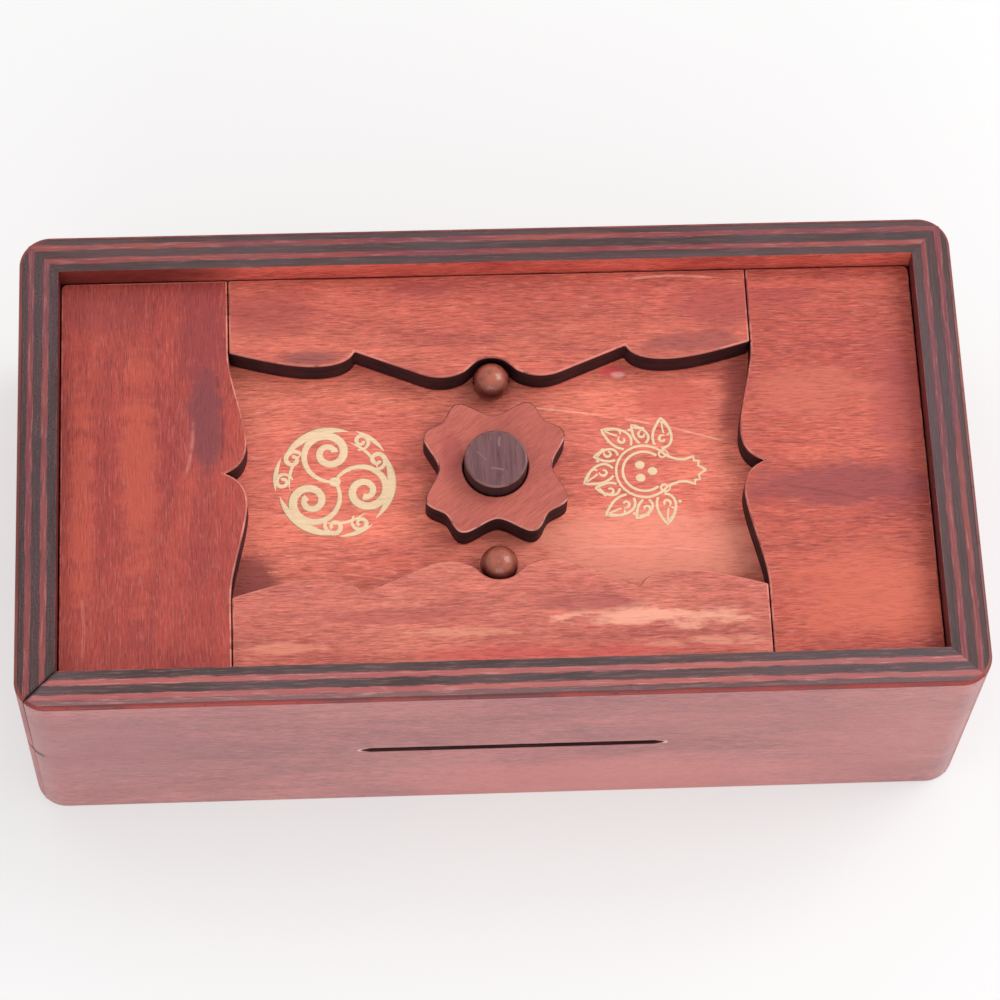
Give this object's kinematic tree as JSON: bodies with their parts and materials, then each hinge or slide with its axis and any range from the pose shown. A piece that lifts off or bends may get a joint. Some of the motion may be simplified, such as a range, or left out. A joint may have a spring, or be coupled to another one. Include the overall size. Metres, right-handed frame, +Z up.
{
  "type": "wooden puzzle box",
  "caption": "Mitred plywood puzzle box with a turning rosette lock, lift-out ball pegs, a note slot and a hidden drawer behind each end.",
  "frame": {"origin": "centre of the rectangular footprint, on the table under the case", "axes": "+X to the right along the length, +Y from the slotted front wall to the rear, +Z up"},
  "size_m": [0.24, 0.13, 0.07],
  "materials": {
    "wall_stain": "satin dark red stain on birch plywood, plies showing on the rim",
    "deck_stain": "thin orange-red stain, fine grain",
    "cream_paint": "thin matte cream paint on stained birch, the two roundels",
    "panel_stain": "orange-red to brick stain, satin",
    "rosette_stain": "matte red-brown, charred cut edge",
    "knob_stain": "matte dark purple-brown end grain",
    "ball_varnish": "glossy brown varnish",
    "bare_ply": "unfinished birch"
  },
  "bodies": {
    "root": {"front_wall": "wall_stain", "rear_wall": "wall_stain", "left_upper_wall": "wall_stain", "right_upper_wall": "wall_stain", "base_panel": "bare_ply", "drawer_partition": "bare_ply", "deck": "deck_stain", "left_panel": "panel_stain", "right_panel": "panel_stain", "rear_panel": "panel_stain", "front_panel": "panel_stain"},
    "rosette_lock": {"rosette": "rosette_stain", "knob_dowel": "knob_stain", "lock_cam": "bare_ply"},
    "rear_ball_peg": {"rear_ball": "ball_varnish", "rear_peg": "ball_varnish"},
    "front_ball_peg": {"front_ball": "ball_varnish", "front_peg": "ball_varnish"},
    "right_drawer": {"right_drawer_front": "wall_stain", "right_drawer_floor": "bare_ply", "right_drawer_front_side": "bare_ply", "right_drawer_rear_side": "bare_ply", "right_drawer_back": "bare_ply", "right_catch": "bare_ply"},
    "left_drawer": {"left_drawer_front": "wall_stain", "left_drawer_floor": "bare_ply", "left_drawer_front_side": "bare_ply", "left_drawer_rear_side": "bare_ply", "left_drawer_back": "bare_ply", "left_catch": "bare_ply"}
  },
  "joints": [
    {"name": "rosette_turn", "type": "hinge", "parent": "root", "child": "rosette_lock", "pos_m": [0, 0, 0.055], "axis": [0, 0, -1], "range_deg": [0, 90]},
    {"name": "rear_ball_lift", "type": "slide", "parent": "root", "child": "rear_ball_peg", "axis": [0, 0, 1], "range_m": [0, 0.012]},
    {"name": "front_ball_lift", "type": "slide", "parent": "root", "child": "front_ball_peg", "axis": [0, 0, 1], "range_m": [0, 0.012]},
    {"name": "right_drawer_slide", "type": "slide", "parent": "root", "child": "right_drawer", "axis": [1, 0, 0], "range_m": [0, 0.115]},
    {"name": "left_drawer_slide", "type": "slide", "parent": "root", "child": "left_drawer", "axis": [-1, 0, 0], "range_m": [0, 0.052]}
  ]
}
